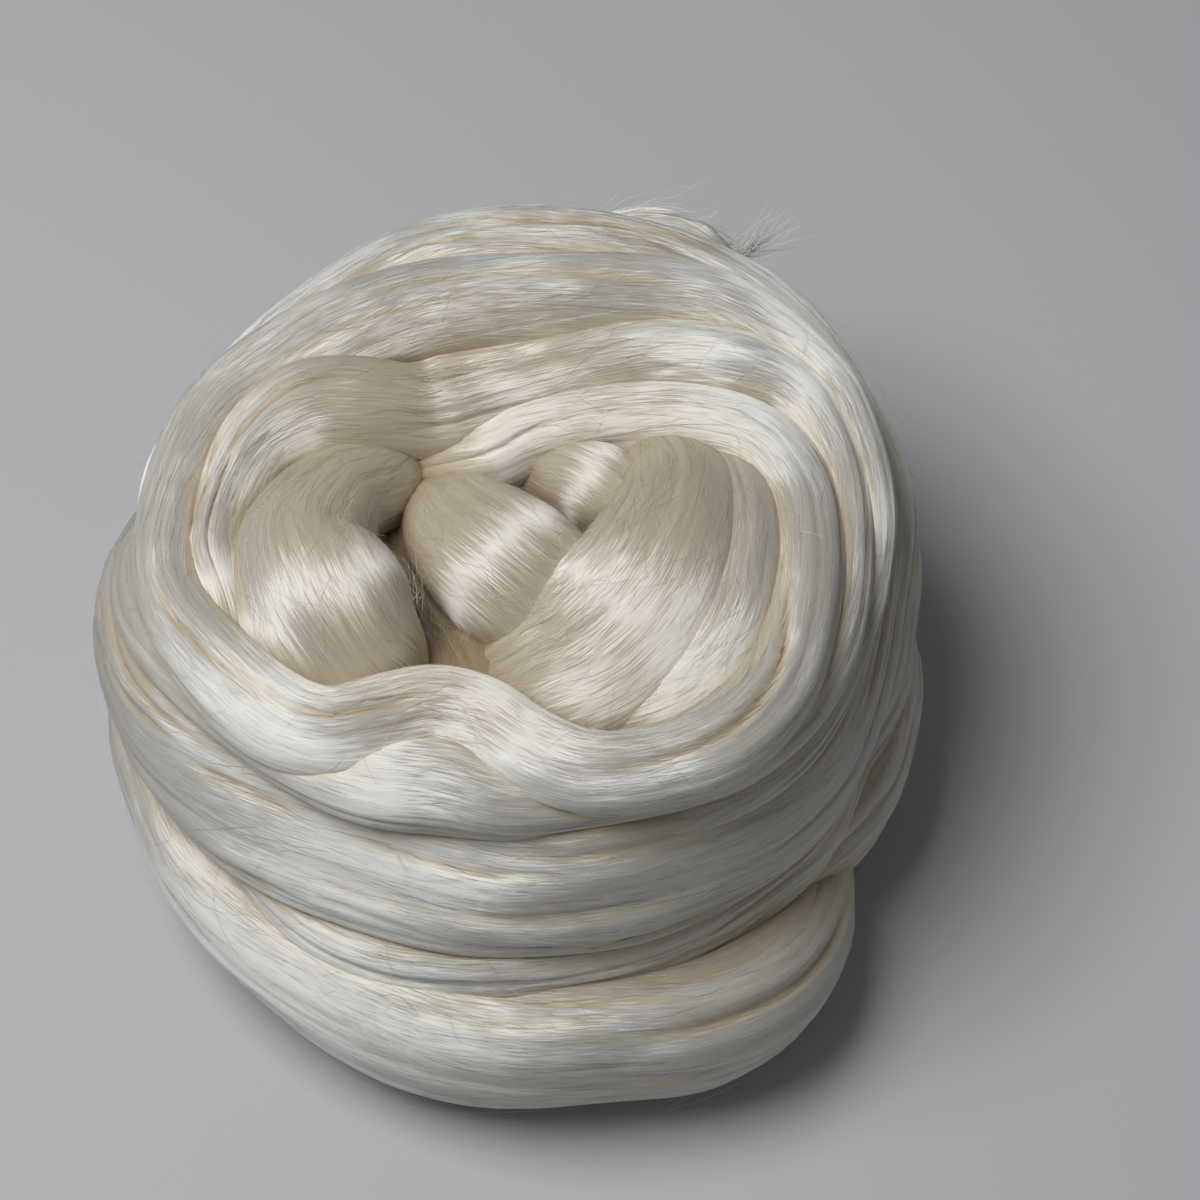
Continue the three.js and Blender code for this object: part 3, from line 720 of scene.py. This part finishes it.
# combed silk: satin across the fibres, fine streaks along them
openSilk = {
    # inner is a warm tint, for the real warmer tone in the middle of the ball and for painted warm glow
    # beside creases; the crease colour is painted brown shade down in them
    "light": (0.615, 0.592, 0.538), "deep": (0.55, 0.512, 0.445), "inner": (1.06, 0.965, 0.785),
    "paintedCreaseShade": (0.5, 0.38, 0.235), "roughness": 0.59, "anisotropic": 0.94, "ior": 2.45, "specular": 1.0,
    "sheenTint": (0.965, 0.985, 1),
    "hair": (5200, 30, 2), "lock": (800, 14, 3),  # streaks per metre across and along, and their detail
    "lockRamp": (0.3, 0.62), "streakRoughness": 0.6, "hairShare": 0.5,
    "warmRing": (0.036, 0.056),  # metres from the ball's upright axis
    "paintedGlowNear": (0.06, 0.42), "paintedShadeFrom": (0.38, 0.95),  # shares of hollow
    "bump": 0.5, "bumpHeight": 0.00015,
    "tilts": [(9000, 160, 0.2), (3600, 150, 0.075), (140, 50, 0.13)],  # across, along, and the normal's lean
    "tiltRange": (0.25, 0.75), "tiltDetail": 1,
}

# the same silk with painted shade, for the pieces deep inside: darker, browner colours and a duller sheen
# stand in for the light lost between the fibres
shadedSilk = {**openSilk, "light": (0.37, 0.285, 0.185), "deep": (0.29, 0.215, 0.13), "inner": (1, 1, 1),
              "paintedCreaseShade": (0.25, 0.18, 0.105), "roughness": 0.8, "anisotropic": 0.5, "ior": 1.3}


def combedSilk(name, look):
    material = bpy.data.materials.new(name)
    material.use_nodes = True
    nodes, links = material.node_tree.nodes, material.node_tree.links
    shader = nodes["Principled BSDF"]
    place = nodes.new("ShaderNodeUVMap")
    place.uv_map = "fibre"

    def streaks(across, along, detail):
        stretch = nodes.new("ShaderNodeMapping")
        stretch.inputs["Scale"].default_value = (across, along, 1)
        links.new(place.outputs["UV"], stretch.inputs["Vector"])
        texture = nodes.new("ShaderNodeTexNoise")
        texture.inputs["Scale"].default_value = 1
        texture.inputs["Detail"].default_value = detail
        texture.inputs["Roughness"].default_value = look["streakRoughness"]
        links.new(stretch.outputs["Vector"], texture.inputs["Vector"])
        return texture.outputs["Fac"]

    def ranged(value, span, low=0, high=1):
        spread = nodes.new("ShaderNodeMapRange")
        spread.inputs["From Min"].default_value, spread.inputs["From Max"].default_value = span
        spread.inputs["To Min"].default_value = low
        spread.inputs["To Max"].default_value = high
        links.new(value, spread.inputs["Value"])
        return spread

    def smoothly(value, span, low=0, high=1):
        spread = ranged(value, span, low, high)
        spread.interpolation_type = "SMOOTHSTEP"
        return spread.outputs["Result"]

    def vectorStep(operation, *values):
        step = nodes.new("ShaderNodeVectorMath")
        step.operation = operation
        for socket, value in zip(step.inputs, values):
            links.new(value, socket)
        return step

    def tinted(factor, color, tint, way):
        mixer = nodes.new("ShaderNodeMix")
        mixer.data_type = "RGBA"
        mixer.blend_type = way
        links.new(factor, mixer.inputs["Factor"])
        links.new(color, mixer.inputs["A"])
        mixer.inputs["B"].default_value = (*tint, 1)
        return mixer.outputs["Result"]

    # colour: locks of fibre, warmer in the middle of the ball; painted warm glow beside creases and painted
    # brown shade down in them
    hair, lock = streaks(*look["hair"]), streaks(*look["lock"])
    ramp = nodes.new("ShaderNodeValToRGB")
    for stop, at, color in zip(ramp.color_ramp.elements, look["lockRamp"], (look["deep"], look["light"])):
        stop.position = at
        stop.color = (*color, 1)
    links.new(lock, ramp.inputs["Fac"])
    spot = nodes.new("ShaderNodeTexCoord")
    flat = vectorStep("MULTIPLY", spot.outputs["Object"])
    flat.inputs[1].default_value = (1, 1, 0)
    away = vectorStep("LENGTH", flat.outputs["Vector"])
    paintedShadeMask = nodes.new("ShaderNodeAttribute")
    paintedShadeMask.attribute_name = "hollow"
    either = nodes.new("ShaderNodeMath")
    either.operation = "MAXIMUM"
    links.new(smoothly(away.outputs["Value"], look["warmRing"], 1, 0), either.inputs[0])
    links.new(smoothly(paintedShadeMask.outputs["Fac"], look["paintedGlowNear"]), either.inputs[1])
    toneAndPaintedGlow = tinted(either.outputs[0], ramp.outputs["Color"], look["inner"], "MULTIPLY")
    color = tinted(smoothly(paintedShadeMask.outputs["Fac"], look["paintedShadeFrom"]), toneAndPaintedGlow, look["paintedCreaseShade"], "MIX")
    links.new(color, shader.inputs["Base Color"])

    both = nodes.new("ShaderNodeMath")
    both.operation = "MULTIPLY_ADD"
    both.inputs[1].default_value = look["hairShare"]
    links.new(hair, both.inputs[0])
    links.new(lock, both.inputs[2])
    bump = nodes.new("ShaderNodeBump")
    bump.inputs["Strength"].default_value = look["bump"]
    bump.inputs["Distance"].default_value = look["bumpHeight"]
    links.new(both.outputs[0], bump.inputs["Height"])
    tangent = nodes.new("ShaderNodeTangent")  # across the fibres
    tangent.direction_type = "UV_MAP"
    tangent.uv_map = "fibre"
    links.new(tangent.outputs["Tangent"], shader.inputs["Tangent"])

    # each fibre rises and dips a little along its own length, which breaks the sheen into streaks
    shape = nodes.new("ShaderNodeNewGeometry")
    along = vectorStep("CROSS_PRODUCT", shape.outputs["Normal"], tangent.outputs["Tangent"])
    normal = bump.outputs["Normal"]
    for across, length, tilt in look["tilts"]:
        swing = ranged(streaks(across, length, look["tiltDetail"]), look["tiltRange"], -tilt, tilt)
        swing.clamp = False
        lean = vectorStep("SCALE", along.outputs["Vector"])
        links.new(swing.outputs["Result"], lean.inputs["Scale"])
        normal = vectorStep("ADD", normal, lean.outputs["Vector"]).outputs["Vector"]
    level = vectorStep("NORMALIZE", normal)
    links.new(level.outputs["Vector"], shader.inputs["Normal"])
    shader.inputs["Roughness"].default_value = look["roughness"]
    shader.inputs["Anisotropic"].default_value = look["anisotropic"]
    shader.inputs["IOR"].default_value = look["ior"]
    shader.inputs["Specular IOR Level"].default_value = look["specular"]
    shader.inputs["Specular Tint"].default_value = (*look["sheenTint"], 1)
    return material


openFinish, shadedFinish = combedSilk("combed_silk", openSilk), combedSilk("packed_silk", shadedSilk)
# pieces deep inside get the silk with painted shade, the rest the open silk
for name, piece in pieces.items():
    piece.data.materials.clear()
    piece.data.materials.append(shadedFinish if name.startswith("packed") else openFinish)
    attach(piece, "root")
    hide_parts("silk_roving")
print("silk on", len(pieces), "pieces")


# floor and light, in metres and watts
studio = {"floor": (0.54, 0.55, 0.565), "floorSize": 6, "floorRoughness": 0.8, "key": 7.6, "keySize": 0.6,
          "keyPlace": (-0.36, -0.1, 0.96), "keyAim": (0, 0, 0.05), "sky": 0.10}
bpy.ops.object.select_all(action="DESELECT")
bpy.ops.mesh.primitive_plane_add(size=studio["floorSize"], location=(0, 0, 0))
floor = bpy.context.active_object
floor.name = "floor"
paint = bpy.data.materials.new("pale_floor")
paint.use_nodes = True
floorShader = paint.node_tree.nodes["Principled BSDF"]
floorShader.inputs["Base Color"].default_value = (*studio["floor"], 1)
floorShader.inputs["Roughness"].default_value = studio["floorRoughness"]
floor.data.materials.append(paint)

bpy.ops.object.light_add(type="AREA", location=studio["keyPlace"])
key = bpy.context.active_object
key.data.shape = "DISK"
key.data.size = studio["keySize"]
key.data.energy = studio["key"]
key.rotation_euler = (Vector(studio["keyAim"]) - key.location).to_track_quat("-Z", "Y").to_euler()
world = bpy.data.worlds.new("soft_room")
bpy.context.scene.world = world
world.use_nodes = True
sky = world.node_tree.nodes["Background"]
sky.inputs["Color"].default_value = (1, 1, 1, 1)
sky.inputs["Strength"].default_value = studio["sky"]

# the camera looks down at the front of the ball: metres, degrees and mm of lens
shot = {"target": (0.0182, 0.0114, 0.050), "elevation": 56.4, "distance": 0.79, "lens": 124.5, "sensor": 36}
rise = math.radians(shot["elevation"])
back = Vector((0, -math.cos(rise), math.sin(rise)))
bpy.ops.object.camera_add(location=Vector(shot["target"]) + back * shot["distance"],
                          rotation=(math.pi / 2 - rise, 0, 0))
camera = bpy.context.active_object
camera.data.lens = shot["lens"]
camera.data.sensor_width = shot["sensor"]
bpy.context.scene.camera = camera
bpy.context.scene.view_settings.view_transform = "Standard"
print("studio set")
